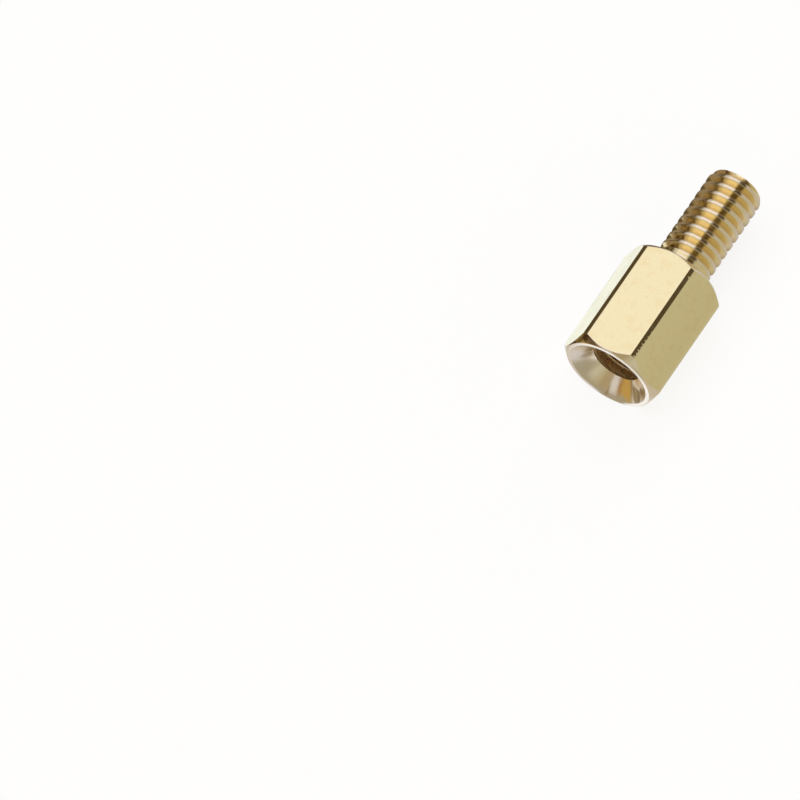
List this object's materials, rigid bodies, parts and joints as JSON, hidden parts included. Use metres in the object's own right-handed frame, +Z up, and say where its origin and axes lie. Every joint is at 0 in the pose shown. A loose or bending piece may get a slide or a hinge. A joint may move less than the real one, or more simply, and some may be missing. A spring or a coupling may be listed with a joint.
{
  "type": "hex standoff",
  "caption": "Short brass male-female hexagonal standoff with a threaded stud at one end and a countersunk blind tapped hole at the other, for spacing a circuit board off a panel.",
  "frame": {"origin": "on the standoff's axis, in the plane of the shoulder that the stud stands on", "axes": "+X along the axis, from the shoulder towards the stud's tip; +Z up, square to the flat opposite the one that it lies on"},
  "size_m": [0.0115, 0.0052, 0.0046],
  "materials": {
    "brass": "bright turned brass with smooth drawn flats"
  },
  "bodies": {
    "root": {"hex_standoff": "brass"}
  },
  "joints": []
}
